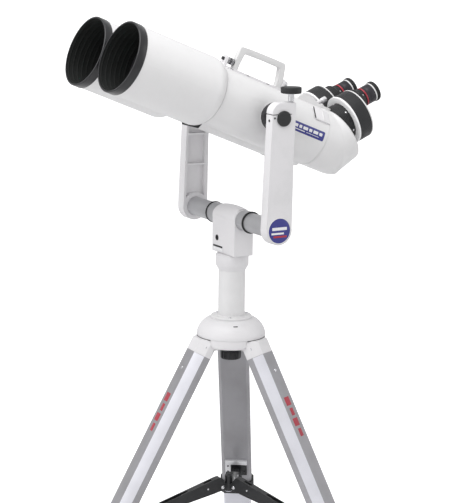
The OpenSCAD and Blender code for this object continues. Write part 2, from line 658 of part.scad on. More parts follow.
if (shown("housing_1")) housing_one(1);
if (shown("housing_2")) housing_one(-1);
if (shown("drum_1")) drum_one(1);
if (shown("drum_2")) drum_one(-1);
if (shown("rhomb_1")) rhomb_one(1);
if (shown("rhomb_2")) rhomb_one(-1);
if (shown("focuser_1")) focuser_one(1);
if (shown("focuser_2")) focuser_one(-1);
if (shown("eyepiece_1")) eyepiece_one(1);
if (shown("eyepiece_2")) eyepiece_one(-1);
if (shown("eyecup_1")) eyecup_one(1);
if (shown("eyecup_2")) eyecup_one(-1);
if (shown("bridge")) bridge();
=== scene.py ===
"""Large binocular telescope on a fork mount and a three-legged stand.

World: z up, the tubes look towards -y and are tilted up, the eyepieces are on the +y side.
The CAD pieces get their materials, then detail meshes are added that ride on them.
Lengths are millimetres unless a comment says metres; angles in degrees unless noted.
"""
import bmesh
import bpy
from math import sin, cos, pi, radians, sqrt
from mathutils import Vector, Matrix

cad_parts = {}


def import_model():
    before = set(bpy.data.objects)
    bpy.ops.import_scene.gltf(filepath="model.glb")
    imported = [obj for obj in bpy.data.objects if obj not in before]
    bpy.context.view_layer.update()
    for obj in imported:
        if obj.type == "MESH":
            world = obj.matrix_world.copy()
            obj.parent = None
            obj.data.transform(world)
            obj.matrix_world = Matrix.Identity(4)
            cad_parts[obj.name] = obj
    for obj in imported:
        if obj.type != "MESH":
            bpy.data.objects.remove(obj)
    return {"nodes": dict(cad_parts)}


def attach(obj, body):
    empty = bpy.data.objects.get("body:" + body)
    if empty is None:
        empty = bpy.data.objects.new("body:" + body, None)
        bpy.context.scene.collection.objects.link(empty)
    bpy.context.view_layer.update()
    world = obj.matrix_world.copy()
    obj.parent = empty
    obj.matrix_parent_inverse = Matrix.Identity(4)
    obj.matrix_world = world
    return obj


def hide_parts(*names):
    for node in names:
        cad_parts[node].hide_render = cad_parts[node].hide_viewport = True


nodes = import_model()["nodes"]
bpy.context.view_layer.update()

# ---------------------------------------------------------------- main dimensions
MM = 0.001                          # metres in a millimetre
PIVOT_Y, PIVOT_Z = 5.6, 1240.0      # tilt axis of the binocular
TILT = 21.6                         # upward tilt of the tubes
TUBE_X = 85.5                       # tube axis from the middle plane
TURRET_X, TURRET_DROP = 65.0, 137.0  # turret axis: sideways, and down the 45 degree slant
TURRET_SINK = 10.5                  # turret datum below that point, along its axis
POST_DROP = 88.0
EYE_OFFSET, EYE_ANGLE = 28.0, 57.5  # eyepiece axis from the turret axis
CROSS_Z = PIVOT_Z - 263.0           # cross shaft of the fork
HUB_Z = CROSS_Z - 88.0
LEG_ANGLES = (25, 145, 265)
LEG_R, LEG_Z, LEG_LEAN = 80.0, 664.0, 28.5
BRACE_R, BRACE_Z, BRACE_SLOPE, BRACE_LENGTH = 20, 296, 12.10, 245.41
SIDES = ((1, 1), (2, -1))           # number used in names, sign of x


# ---------------------------------------------------------------- placing
def turn_x(degrees):
    return Matrix.Rotation(radians(degrees), 4, "X")


def turn_y(degrees):
    return Matrix.Rotation(radians(degrees), 4, "Y")


def turn_z(degrees):
    return Matrix.Rotation(radians(degrees), 4, "Z")


def shift(x, y, z):
    return Matrix.Translation((x, y, z))


def polar(radius, degrees, z):
    """Shift to a point round the z axis, without turning."""
    return shift(radius * cos(radians(degrees)), radius * sin(radians(degrees)), z)


def radial(degrees, radius, z):
    """Point round the z axis with local z facing outwards."""
    return turn_z(degrees) @ shift(radius, 0, z) @ turn_y(90)


def barrel(side):
    """Local z runs back along a tube, local y points down."""
    return BINO @ shift(side * TUBE_X, 0, 0) @ turn_x(-90)


def slant(x, drop):
    """Local z leans 45 degrees back, as the eyepieces do."""
    return BINO @ shift(x, drop * sqrt(0.5), -drop * sqrt(0.5)) @ turn_x(-45)


def turret(side):
    return slant(side * TURRET_X, TURRET_DROP) @ shift(0, 0, -TURRET_SINK)


def eye(side):
    angle = radians(EYE_ANGLE)
    return turret(side) @ shift(-side * EYE_OFFSET * cos(angle), -EYE_OFFSET * sin(angle), 0)


def leg(i):
    """Local z runs up the leg, local x points outwards."""
    return turn_z(LEG_ANGLES[i]) @ shift(LEG_R, 0, LEG_Z) @ turn_y(-LEG_LEAN)


WORLD = Matrix.Identity(4)
BINO = shift(0, PIVOT_Y, PIVOT_Z) @ turn_x(-TILT)
# outline x, y become y, z; the thickness runs along +x or -x
EDGE_ON = Matrix(((0, 0, 1, 0), (1, 0, 0, 0), (0, 1, 0, 0), (0, 0, 0, 1)))
EDGE_ON_BACK = Matrix(((0, 0, -1, 0), (1, 0, 0, 0), (0, 1, 0, 0), (0, 0, 0, 1)))


# ---------------------------------------------------------------- material building
class Look:
    """One Principled shader with textures in object coordinates (metres)."""

    def __init__(self, name):
        self.material = bpy.data.materials.new(name)
        self.material.use_nodes = True
        self.tree = self.material.node_tree
        self.tree.nodes.clear()
        output = self.node("ShaderNodeOutputMaterial")
        self.shader = self.node("ShaderNodeBsdfPrincipled")
        self.link(self.shader.outputs[0], output.inputs[0])
        self.coords = self.node("ShaderNodeTexCoord").outputs["Object"]

    def node(self, kind, **inputs):
        made = self.tree.nodes.new(kind)
        for key, value in inputs.items():
            made.inputs[key].default_value = value
        return made

    def link(self, source, target):
        self.tree.links.new(source, target)

    def feed(self, key, source):
        self.link(source, self.shader.inputs[key])

    def set(self, key, value):
        self.shader.inputs[key].default_value = value

    def noise(self, scale, detail=4.0, rough=0.55, stretch=None):
        mapping = self.node("ShaderNodeMapping")
        self.link(self.coords, mapping.inputs[0])
        if stretch:
            mapping.inputs["Scale"].default_value = stretch
        noise = self.node("ShaderNodeTexNoise", Scale=scale, Detail=detail, Roughness=rough)
        self.link(mapping.outputs[0], noise.inputs["Vector"])
        return noise.outputs["Fac"]

    def colour(self, factor, stops):
        """Colour ramp over (position, colour) stops, into the base colour."""
        ramp = self.node("ShaderNodeValToRGB")
        elements = ramp.color_ramp.elements
        while len(elements) > 1:
            elements.remove(elements[-1])
        elements[0].position = stops[0][0]
        elements[0].color = (*stops[0][1], 1)
        for position, colour in stops[1:]:
            elements.new(position).color = (*colour, 1)
        self.link(factor, ramp.inputs[0])
        self.feed("Base Color", ramp.outputs[0])

    def roughness(self, factor, low, high):
        spread = self.node("ShaderNodeMapRange", **{"To Min": low, "To Max": high})
        self.link(factor, spread.inputs["Value"])
        self.feed("Roughness", spread.outputs["Result"])

    def bump(self, height, strength, depth, under=None):
        """Bump of a depth in metres, on top of an optional normal."""
        bump = self.node("ShaderNodeBump", Strength=strength, Distance=depth)
        self.link(height, bump.inputs["Height"])
        if under:
            self.link(under, bump.inputs["Normal"])
        return bump.outputs["Normal"]


def scaled(colour, factor):
    return tuple(min(1, channel * factor) for channel in colour)


def paint(name, base, dark, rough=0.34, bump=0.10, coat=0.25, edge=0.0):
    """Lacquer with faint grime and orange peel; edge is the shading bevel radius in mm."""
    look = Look(name)
    grime = look.noise(scale=38.0, detail=7.0, rough=0.7)
    mix = look.node("ShaderNodeMix")
    mix.data_type = "FLOAT"
    mix.inputs[0].default_value = 0.35      # share of grime
    look.link(look.noise(scale=9.0, detail=3.0), mix.inputs[2])
    look.link(grime, mix.inputs[3])
    look.colour(mix.outputs[0], [(0.30, dark), (0.47, base), (0.72, scaled(base, 1.03))])
    look.roughness(grime, rough - 0.07, rough + 0.10)
    look.set("Coat Weight", coat)
    look.set("Coat Roughness", 0.18)
    rounded = None
    if edge:
        bevel = look.node("ShaderNodeBevel", Radius=edge * MM)
        bevel.samples = 6
        rounded = bevel.outputs["Normal"]
    peel = look.bump(look.noise(scale=260.0, detail=2.0), bump, depth=0.0004, under=rounded)
    fine = look.noise(scale=900.0, detail=2.0)
    look.feed("Normal", look.bump(fine, bump, depth=0.0002, under=peel))
    return look.material


def metal(name, base, dark, rough, scale, metallic, bump, stretch=None):
    """Finished metal; stretch draws the fine grain out along one axis."""
    look = Look(name)
    fine = look.noise(scale=scale, detail=5.0, rough=0.65, stretch=stretch)
    broad = look.noise(scale=14.0, detail=4.0)
    look.colour(broad, [(0.3, dark), (0.55, base), (0.8, scaled(base, 1.05))])
    look.roughness(fine, rough - 0.08, rough + 0.12)
    look.set("Metallic", metallic)
    look.feed("Normal", look.bump(fine, bump, depth=0.00025))
    return look.material


def grain(name, base, light, rough, scale, depth, strength, coat=0.0):
    """Cellular surface such as crinkle paint or leatherette, lighter where worn."""
    look = Look(name)
    cells = look.node("ShaderNodeTexVoronoi")
    cells.feature = "DISTANCE_TO_EDGE"
    cells.inputs["Scale"].default_value = scale
    look.link(look.coords, cells.inputs["Vector"])
    fine = look.noise(scale=scale * 1.7, detail=4.0, rough=0.6)
    wear = look.noise(scale=24.0, detail=6.0, rough=0.7)
    look.colour(wear, [(0.35, base), (0.62, base), (0.80, light)])
    look.roughness(wear, rough - 0.08, rough + 0.1)
    look.set("Coat Weight", coat)
    under = look.bump(fine, strength * 0.5, depth * 0.5)
    look.feed("Normal", look.bump(cells.outputs["Distance"], strength, depth, under))
    return look.material


def glass(name, tint, rough=0.02):
    look = Look(name)
    look.colour(look.noise(scale=30.0, detail=2.0), [(0.3, tint), (0.7, scaled(tint, 1.15))])
    look.set("Transmission Weight", 0.82)
    look.set("IOR", 1.52)
    look.roughness(look.noise(scale=120.0, detail=5.0), rough, rough + 0.03)
    look.set("Coat Weight", 0.6)
    look.set("Coat Tint", (0.55, 0.8, 0.75, 1))
    ripple_height = look.noise(scale=60.0, detail=2.0)
    look.feed("Normal", look.bump(ripple_height, strength=0.02, depth=0.0002))
    return look.material


def floor_paper():
    look = Look("studio_floor")
    look.colour(look.noise(scale=3.0, detail=3.0),
                [(0.3, (0.80, 0.80, 0.805)), (0.7, (0.84, 0.84, 0.845))])
    look.roughness(look.noise(scale=40.0, detail=5.0), 0.62, 0.75)
    fibre = look.noise(scale=300.0, detail=3.0)
    look.feed("Normal", look.bump(fibre, strength=0.02, depth=0.0005))
    # a glow that only the camera sees, so that it lights nothing
    look.set("Emission Color", (1, 1, 1, 1))
    glow = look.node("ShaderNodeMath")
    glow.operation = "MULTIPLY"
    glow.inputs[1].default_value = 0.55
    look.link(look.node("ShaderNodeLightPath").outputs["Is Camera Ray"], glow.inputs[0])
    look.feed("Emission Strength", glow.outputs[0])
    return look.material


# ---------------------------------------------------------------- materials
WHITE = paint("white_paint", (0.74, 0.735, 0.74), (0.70, 0.695, 0.70), edge=0.8)
HOUSING = paint("white_paint_housing", (0.74, 0.735, 0.74), (0.70, 0.695, 0.70), edge=9.0)
CAST = paint("white_paint_cast", (0.73, 0.72, 0.735), (0.68, 0.675, 0.685),
             rough=0.42, bump=0.22, coat=0.12, edge=1.5)
PALE = paint("pale_grey_paint", (0.90, 0.90, 0.905), (0.86, 0.86, 0.865),
             rough=0.45, bump=0.15, coat=0.1)
HANDLE = paint("handle_paint", (0.68, 0.68, 0.68), (0.60, 0.60, 0.60),
               rough=0.38, bump=0.2, edge=1.2)
FLOCK = grain("shield_flocking", (0.0035, 0.0045, 0.004), (0.006, 0.007, 0.0065),
              rough=0.92, scale=1500.0, depth=0.0006, strength=0.8)
LEG = metal("leg_anodised", (0.37, 0.365, 0.385), (0.335, 0.33, 0.345),
            rough=0.40, stretch=(1, 1, 0.05), scale=700.0, metallic=0.5, bump=0.10)
# lighter anodised aluminium of the inner leg; the same material also paints sheen, as lighter
# strips on the flanks of the darker outer legs
LEG_INNER_AND_SHEEN = metal("leg_inner_anodised_and_sheen", (0.76, 0.76, 0.815), (0.71, 0.71, 0.76),
                  rough=0.36, stretch=(1, 1, 0.05), scale=700.0, metallic=0.55, bump=0.12)
SATIN = metal("shaft_satin", (0.46, 0.46, 0.475), (0.41, 0.41, 0.425),
              rough=0.36, stretch=(0.04, 1, 1), scale=900.0, metallic=0.6, bump=0.12)
STEEL = metal("bright_steel", (0.72, 0.72, 0.74), (0.6, 0.6, 0.62),
              rough=0.2, scale=1400.0, metallic=1.0, bump=0.08)
CRINKLE = grain("black_crinkle", (0.0095, 0.010, 0.0115), (0.018, 0.018, 0.020),
                rough=0.44, scale=1300.0, depth=0.0003, strength=0.30)
ENAMEL = grain("black_satin_enamel", (0.0065, 0.0065, 0.0085), (0.010, 0.010, 0.012),
               rough=0.30, scale=500.0, depth=0.0001, strength=0.10, coat=0.2)
PLATED = metal("bright_plated", (0.80, 0.80, 0.82), (0.70, 0.70, 0.72),
               rough=0.28, scale=1400.0, metallic=0.45, bump=0.08)
MOULDED = grain("black_moulding", (0.009, 0.0095, 0.011), (0.018, 0.018, 0.020),
                rough=0.42, scale=900.0, depth=0.0003, strength=0.3, coat=0.1)
BLACK = metal("black_anodised", (0.028, 0.027, 0.031), (0.018, 0.018, 0.02),
              rough=0.36, scale=1200.0, metallic=0.35, bump=0.1)
GRAPHITE = metal("graphite_anodised", (0.040, 0.037, 0.045), (0.028, 0.026, 0.032),
                 rough=0.36, scale=1200.0, metallic=0.45, bump=0.1)
LEATHER = grain("drum_leatherette", (0.0095, 0.010, 0.012), (0.018, 0.018, 0.021),
                rough=0.46, scale=620.0, depth=0.0009, strength=0.55)
RUBBER = grain("black_rubber", (0.012, 0.012, 0.013), (0.03, 0.03, 0.03),
               rough=0.72, scale=1600.0, depth=0.0004, strength=0.4)
RED = paint("red_enamel", (0.40, 0.012, 0.035), (0.30, 0.008, 0.025),
            rough=0.3, bump=0.08, coat=0.5)
BLUE = paint("blue_plate", (0.022, 0.026, 0.22), (0.018, 0.021, 0.18),
             rough=0.32, bump=0.06, coat=0.5)
PRINT = paint("plate_print", (0.78, 0.78, 0.80), (0.70, 0.70, 0.72), rough=0.4, bump=0.06)
GLASS = glass("coated_glass", (0.72, 0.86, 0.84))
PRISM = glass("prism_glass", (0.86, 0.92, 0.94))
DARK_GLASS = glass("eyepiece_glass", (0.10, 0.14, 0.17), rough=0.03)

# CAD piece, or its name without the trailing number: material
PIECE_MATERIALS = {
    "head_casting": CAST, "pillar": WHITE, "azimuth_collar": CAST, "centre_knob": MOULDED,
    "hinge_pins": STEEL, "leg_socket": CAST, "leg_tube": LEG, "leg_collar": MOULDED,
    "leg_knob": MOULDED, "leg_inner": LEG_INNER_AND_SHEEN, "leg_foot": RUBBER,
    "spreader_hub": MOULDED, "spreader_arm": MOULDED, "fork_hub": CAST,
    "fork_shaft": SATIN, "fork_arm": CAST, "shaft_rings": CRINKLE,
    "azimuth_screw": CRINKLE, "clamp_knob": CRINKLE, "saddle": CAST, "handle": HANDLE,
    "handle_bolts": BLACK, "trunnions": BLACK, "pivot_caps": MOULDED, "lens_cells": BLACK,
    "prisms": PRISM, "tube": WHITE, "shield": WHITE, "objective_lenses": GLASS,
    "housing": HOUSING, "drum": CRINKLE, "rhomb": PRISM, "focuser": CRINKLE,
    "eyepiece": GRAPHITE, "eyecup": RUBBER, "bridge": CAST,
}
for name, piece in nodes.items():
    key = name if name in PIECE_MATERIALS else name.rsplit("_", 1)[0]
    piece.data.materials.clear()
    piece.data.materials.append(PIECE_MATERIALS[key])


# ---------------------------------------------------------------- mesh building
def mesh(name, place, mat, verts, faces, bevel=None):
    """Object from points in mm: smooth shaded, sharp where faces meet above 35 degrees."""
    data = bpy.data.meshes.new(name)
    data.from_pydata([tuple((place @ Vector(v)) * MM) for v in verts], [], faces)
    data.validate()
    data.update()
    made = bpy.data.objects.new(name, data)
    bpy.context.scene.collection.objects.link(made)
    data.materials.append(mat)
    bm = bmesh.new()
    bm.from_mesh(data)
    bmesh.ops.remove_doubles(bm, verts=bm.verts, dist=1e-7)
    bmesh.ops.recalc_face_normals(bm, faces=bm.faces)

    def edges_above(degrees):
        return [e for e in bm.edges
                if len(e.link_faces) == 2 and e.calc_face_angle(0) > radians(degrees)]

    if bevel:
        bmesh.ops.bevel(bm, geom=edges_above(30), offset=bevel * MM, segments=2,
                        profile=0.7, affect="EDGES")
    for face in bm.faces:
        face.smooth = True
    for edge in edges_above(35):
        edge.smooth = False
    bm.to_mesh(data)
    bm.free()
    return made


def part(name, body, *shape, bevel=None):
    """Mesh that rides on a body of the frame."""
    made = mesh(name, *shape, bevel=bevel)
    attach(made, body)
    return made


def level(*_):
    return 0.0


def lathe(name, body, place, mat, profile, segments=96, span=(0.0, 2 * pi),
          wave=level, lift=level):
    """Closed (radius, z) profile turned about z over a span in radians.

    wave(angle, radius, z) adds to the radius, lift(angle, z) to the height.
    """
    start, end = span
    full = abs(end - start - 2 * pi) < 1e-6
    columns = segments if full else segments + 1
    verts, faces = [], []
    for j in range(columns):
        angle = start + (end - start) * j / segments
        for radius, z in profile:
            reach = radius + wave(angle, radius, z)
            verts.append((reach * cos(angle), reach * sin(angle), z + lift(angle, z)))
    count = len(profile)
    for j in range(segments):
        here, after = j * count, (j + 1) % columns * count
        for i in range(count):
            i2 = (i + 1) % count
            if profile[i][0] < 1e-6 and profile[i2][0] < 1e-6:
                continue                    # this stretch lies on the axis
            faces.append((here + i, after + i, after + i2, here + i2))
    if not full:
        faces.append(list(range(count)))
        faces.append([(columns - 1) * count + i for i in range(count)][::-1])
    return part(name, body, place, mat, verts, faces)


def knurl(count, depth):
    """Triangular ribs."""
    return lambda a, r, z: depth * (abs(((a * count / (2 * pi)) % 1.0) * 2 - 1) - 0.5) * 2


def ripple(count, depth, above):
    """Cosine ribs on the profile points beyond a radius."""
    return lambda a, r, z: depth * cos(count * a) if r > above else 0.0


def screw(name, body, place, radius, height, mat=STEEL):
    """Button head along local z with a hexagon recess."""
    # each point: share of the radius, share of the height
    shares = [(0, 0), (1, 0), (1, 0.35), (0.92, 0.68), (0.72, 0.93), (0.5, 1), (0.46, 1),
              (0.44, 0.35), (0, 0.35)]

    def hexagon(a, r, z):
        if r > 0.48 * radius:
            return 0.0
        return r * (cos(pi / 6) / cos(((a + pi / 6) % (pi / 3)) - pi / 6) - 1)

    lathe(name, body, place, mat, [(radius * r, height * z) for r, z in shares],
          segments=24, wave=hexagon)


def loft(name, body, place, mat, lower, upper, bevel):
    """Solid between two rings with the same number of points."""
    n = len(lower)
    faces = [list(range(n))[::-1], list(range(n, 2 * n))]
    faces += [(i, (i + 1) % n, n + (i + 1) % n, n + i) for i in range(n)]
    return part(name, body, place, mat, lower + upper, faces, bevel=bevel)


def prism(name, body, place, mat, outline, z_span, bevel):
    lower, upper = ([(x, y, z) for x, y in outline] for z in z_span)
    return loft(name, body, place, mat, lower, upper, bevel)


def block(name, body, place, mat, x_span, y_span, z_span, bevel, taper=0.0):
    """Box; taper draws each side of the upper face in."""
    (x0, x1), (y0, y1), (z0, z1) = x_span, y_span, z_span
    verts = []
    for z, t in ((z0, 0.0), (z1, taper)):
        verts += [(x0 + t, y0 + t, z), (x1 - t, y0 + t, z),
                  (x1 - t, y1 - t, z), (x0 + t, y1 - t, z)]
    faces = [(0, 3, 2, 1), (4, 5, 6, 7), (0, 1, 5, 4), (1, 2, 6, 5), (2, 3, 7, 6), (3, 0, 4, 7)]
    part(name, body, place, mat, verts, faces, bevel=bevel)


def rounded_rectangle(width, height, radius, steps=6):
    points = []
    corners = ((1, 1, 0), (-1, 1, 90), (-1, -1, 180), (1, -1, 270))
    for x_sign, y_sign, start in corners:
        for k in range(steps + 1):
            angle = radians(start + 90 * k / steps)
            points.append((x_sign * (width / 2 - radius) + radius * cos(angle),
                           y_sign * (height / 2 - radius) + radius * sin(angle)))
    return points


def bent_plate(name, place, mat, radius, thick, z_span, a_span, corner, z_steps, a_steps):
    """Round-cornered plate bent about z on the binocular; a_span in radians from +x to +y."""
    (z0, z1), (a0, a1) = z_span, a_span
    length, height = z1 - z0, radius * (a1 - a0)

    def inset(u):
        """Share of the height cut off by the corner rounding."""
        from_end = min(u * length, (1 - u) * length)
        if from_end >= corner:
            return 0.0
        return (corner - sqrt(max(0.0, corner ** 2 - (corner - from_end) ** 2))) / height

    # even stations along the plate, with extra ones at the rounded ends
    stations = sorted({i / z_steps for i in range(z_steps + 1)}
                      | {0.004, 0.01, 0.02, 0.035, 0.965, 0.98, 0.99, 0.996})
    verts, faces = [], []
    for reach in (radius, radius + thick):
        for u in stations:
            cut = inset(u)
            for j in range(a_steps + 1):
                angle = a0 + (a1 - a0) * (cut + (1 - 2 * cut) * j / a_steps)
                verts.append((reach * cos(angle), reach * sin(angle), z0 + length * u))
    rows, row = len(stations), a_steps + 1
    top = rows * row                        # index offset of the outer layer
    for i in range(rows - 1):
        for j in range(a_steps):
            a = i * row + j
            b = top + a
            faces.append((a, a + 1, a + row + 1, a + row))
            faces.append((b, b + row, b + row + 1, b + 1))
    for i in range(rows - 1):
        for a in (i * row, i * row + a_steps):
            faces.append((a, a + row, top + a + row, top + a))
    for j in range(a_steps):
        for a in (j, (rows - 1) * row + j):
            faces.append((a, a + 1, top + a + 1, top + a))
    part(name, "binocular", place, mat, verts, faces)


# Every lathe profile below lists (radius, z) points in the frame it is placed by.

# ---------------------------------------------------------------- dew shields
def dress_shield(num, side):
    body, place = f"shield_{num}", barrel(side)
    lining = [(80.95, -388.8), (80.3, -388.8)]
    for i in range(17):                     # baffle ridges
        z = 12.5 * i
        lining += [(80.35, -386.0 + z), (79.3, -384.6 + z),
                   (79.3, -383.4 + z), (80.35, -382.0 + z)]
    lining += [(80.3, -175.0), (80.95, -175.0)]
    lathe(f"shield_{num}_lining", body, place, FLOCK, lining, segments=120)
    lathe(f"shield_{num}_mouth_bead", body, place, ENAMEL, [
        (81.1, -390.4), (84.1, -390.5), (84.95, -389.9), (85.25, -389.0), (85.35, -371.0),
        (85.0, -370.1), (84.2, -369.8), (83.6, -370.6), (83.6, -388.4), (81.1, -388.4),
    ], segments=160)
    lathe(f"shield_{num}_rear_felt", body, place, WHITE, [
        (71.3, -137.6), (74.2, -137.3), (74.0, -136.6), (71.3, -136.5)])
    lathe(f"lens_{num}_retaining_ring", "binocular", place, BLACK, [
        (62.6, -312.8), (66.5, -313.3), (75.4, -313.0), (76.4, -312.0), (76.4, -308.4),
        (62.6, -308.6)], segments=120)
    for q in range(3):
        screw(f"lens_{num}_cell_screw_{q}", "binocular",
              place @ polar(71, 30 + 120 * q, -313.1) @ turn_x(180), radius=2.4, height=1.6)


for num, side in SIDES:
    dress_shield(num, side)


# ---------------------------------------------------------------- tubes and housings
PLATE_BARS = ((70, 80), (84, 92), (96, 110), (114, 123), (127, 141), (145, 154))  # z spans


def dress_flank(num, side):
    """Blue plate with plain printed bars, bent to the outer flank of the tube."""
    def plate(name, mat, z_span, low, high, **shape):
        a_span = (low, high) if side > 0 else (pi - high, pi - low)
        bent_plate(f"flank_sheen_{num}_{name}", barrel(side), mat,
                   z_span=z_span, a_span=a_span, **shape)

    plate("plate", BLUE, (64, 161), -0.19, 0.13,
          radius=71.02, thick=0.55, corner=3.0, z_steps=36, a_steps=10)
    printed = dict(radius=71.5, thick=0.22, corner=0.9, z_steps=20, a_steps=4)
    for q, z_span in enumerate(PLATE_BARS):
        plate(f"bar_{q}", PRINT, z_span, -0.115, -0.015, **printed)
    plate("line", PRINT, (72, 104), 0.035, 0.062, **printed)
    plate("line_b", PRINT, (108, 146), 0.040, 0.055, **printed)


def dress_shoulder(num, side):
    """Pad and ridge on the upper outer shoulder, with painted shade: a black band at the pad's
    front end, where shade falls as the pad rises from the tube; local x points out of it.
    """
    place = barrel(side) @ turn_z(-45 if side > 0 else -135)
    prism(f"shoulder_{num}_pad", "binocular", place, CAST, [
        (68.4, -19.5), (72.1, -19.5), (72.6, -17), (72.9, 0), (72.6, 17), (72.1, 19.5),
        (68.4, 19.5)], (126, 169), bevel=0.8)
    block(f"shoulder_{num}_ridge", "binocular", place, WHITE,
          (72.4, 74.2), (-19.0, 16.0), (150, 153.5), bevel=0.7, taper=0.3)
    # painted shade: black band over the pad's front end, standing in for the shade where the
    # pad rises from the tube
    block(f"shoulder_{num}_pad_shade", "binocular", place, CRINKLE,
          (71.4, 72.95), (-18.0, 18.5), (124.6, 126.6), bevel=0.3)


def dress_trunnion(num, side):
    """Rings round the tilt axis; local z points outwards."""
    place = BINO @ turn_y(90 * side)
    lathe(f"boss_{num}_collar", "binocular", place, WHITE, [
        (26.0, 158.6), (28.2, 158.8), (28.6, 159.4), (28.6, 160.2), (26.0, 160.4)],
        segments=72)
    lathe(f"trunnion_{num}_knurl", "binocular", place, BLACK, [
        (31.4, 165.2), (32.6, 165.6), (32.8, 167), (32.8, 178.6), (32.5, 180),
        (31.4, 180.6)], segments=240, wave=knurl(count=60, depth=0.35))
    lathe(f"trunnion_{num}_washer", "binocular", place, STEEL, [
        (16.2, 182.3), (28.2, 182.3), (28.4, 182.8), (28.2, 183.35), (16.2, 183.35)],
        segments=72)
    lathe(f"pivot_cap_{num}_face", "binocular", place, MOULDED, [
        (0, 217.2), (16.2, 217.2), (17.4, 217.0), (18.15, 216.3), (18.25, 213.0),
        (15.6, 212.8), (15.4, 216.6), (14.6, 216.9), (13.8, 217.5), (0, 217.7)],
        segments=72)


for num, side in SIDES:
    lathe(f"housing_{num}_joint_bead", "binocular", barrel(side), WHITE, [
        (70.9, 169.2), (71.5, 169.3), (71.7, 169.8), (72.35, 170.2), (72.35, 170.9),
        (71.2, 171.2)], segments=128)
    dress_flank(num, side)
    dress_shoulder(num, side)
    dress_trunnion(num, side)


# ---------------------------------------------------------------- turrets and eyepieces
def dress_turret(num, side):
    body, place = f"turret_{num}", turret(side)
    lathe(f"turret_{num}_base_disc", body, place, PALE, [
        (47.4, 242.4), (61.4, 242.2), (62.6, 242.6), (63.1, 243.4), (63.1, 246.4),
        (62.7, 247.2), (61.6, 247.6), (61.2, 246.0), (47.4, 246.0)], segments=128)
    lathe(f"turret_{num}_leather", body, place, LEATHER, [
        (60.9, 247.8), (61.7, 248.0), (62.05, 248.5), (62.1, 249.2), (62.1, 281.8),
        (62.0, 282.5), (61.6, 282.9), (60.9, 283.0)], segments=160)
    lathe(f"turret_{num}_bright_ring", body, place, WHITE, [
        (57.5, 286.9), (57.9, 287.35), (60.4, 287.3), (61.9, 286.4), (62.35, 285.6),
        (62.35, 283.4), (61.9, 283.0), (60.8, 283.1), (60.6, 286.0)], segments=160)
    lathe(f"turret_{num}_face", body, place, CRINKLE, [
        (0, 288.6), (20, 288.5), (40, 288.0), (56.9, 287.4), (57.3, 286.9), (56.9, 286.4),
        (0, 286.6)], segments=128)
    neck = [(45.9, 213.0)]
    for i in range(6):                      # grooves between housing and drum
        z = 214 + 4.6 * i
        neck += [(47.15, z), (47.15, z + 3.0), (46.6, z + 3.5), (46.6, z + 4.2)]
    neck += [(47.1, 242.0), (45.9, 242.0)]
    lathe(f"turret_{num}_neck", body, place, CRINKLE, neck, segments=128)
    for q in range(6):
        screw(f"turret_{num}_neck_screw_{q}", body,
              place @ radial(20 + 60 * q, 46.9, 236.0), radius=2.6, height=1.5)
    block(f"turret_{num}_index", body, place @ turn_z(200), CRINKLE,
          (62.9, 63.5), (-0.7, 0.7), (243.6, 246.2), bevel=0.2)


def dress_focuser(num, side):
    body, place = f"focuser_{num}", eye(side)
    lathe(f"focus_{num}_grip", body, place, CRINKLE, [
        (29.4, 291.0), (30.3, 291.3), (30.5, 292.2), (30.5, 302.8), (30.2, 304.0),
        (29.4, 304.6)], segments=240, wave=knurl(count=48, depth=0.45))
    lathe(f"focus_{num}_cone", body, place, CRINKLE, [
        (28.0, 307.0), (28.8, 307.2), (25.9, 309.8), (24.6, 313.5), (24.4, 318.4),
        (23.6, 319.2), (22.4, 319.0), (22.4, 308.0)])
    for q in range(3):
        screw(f"focus_{num}_set_{q}", body,
              place @ radial(90 + 120 * q, 24.4, 315.4), radius=1.6, height=0.8)


def dress_eyepiece(num, side):
    body, place = f"eyepiece_{num}", eye(side)
    lathe(f"eyepiece_{num}_red_ring", body, place, RED, [
        (22.6, 322.2), (23.7, 322.3), (23.95, 322.8), (23.95, 325.2), (23.7, 325.7),
        (22.6, 325.8)])
    lathe(f"eyepiece_{num}_barrel_skin", body, place, GRAPHITE, [
        (22.7, 326.2), (23.35, 326.4), (23.5, 327.2), (23.5, 331.0), (23.2, 331.5),
        (23.2, 332.1), (23.5, 332.6), (23.6, 347.6), (23.3, 348.8), (22.7, 349.0)])
    lathe(f"eyepiece_{num}_bright_ring", body, place, WHITE, [
        (22.7, 349.3), (24.0, 349.5), (24.25, 350.2), (24.25, 352.4), (24.0, 353.1),
        (22.7, 353.3)])
    lathe(f"eyepiece_{num}_lens", body, place, DARK_GLASS, [
        (0, 358.6), (4, 358.5), (8, 358.1), (12, 357.3), (13.6, 356.8), (13.6, 354.6),
        (0, 354.8)], segments=72)
    lathe(f"eyepiece_{num}_lens_ring", body, place, BLACK, [
        (12.8, 357.2), (13.4, 358.6), (14.6, 360.9), (15.6, 361.2), (15.6, 356.6),
        (12.8, 356.4)], segments=72)
    cup = [(22.4, 354.0), (25.0, 353.95), (25.5, 354.6)]
    for i in range(3):                      # grip ribs
        z = 355.4 + 2.0 * i
        cup += [(25.7, z), (25.7, z + 1.0), (25.35, z + 1.3), (25.35, z + 1.8)]
    cup += [(25.2, 361.9), (24.3, 363.1), (21.0, 363.3), (17.6, 362.9), (16.2, 362.0),
            (16.4, 361.1), (22.2, 361.0)]
    lathe(f"eyecup_{num}_rubber", f"eyecup_{num}", place, RUBBER, cup)


for num, side in SIDES:
    dress_turret(num, side)
    dress_focuser(num, side)
    dress_eyepiece(num, side)

# post between the drums
lathe("bridge_post_cap", "binocular", slant(0, POST_DROP), PLATED, [
    (0, 242.0), (5.4, 242.0), (6.3, 241.4), (6.6, 240.4), (6.6, 228.0), (6.2, 226.6),
    (4.8, 226.0), (0, 226.2)], segments=72, wave=ripple(count=18, depth=0.25, above=6.5))


# ---------------------------------------------------------------- handle and saddle
def thumb_ribs(angle, radius, z):
    """Square ribs, 30 to the turn."""
    if radius <= 7.6:
        return 0.0
    return 0.3 * (1 if int(angle * 30 / pi) % 2 else -1)


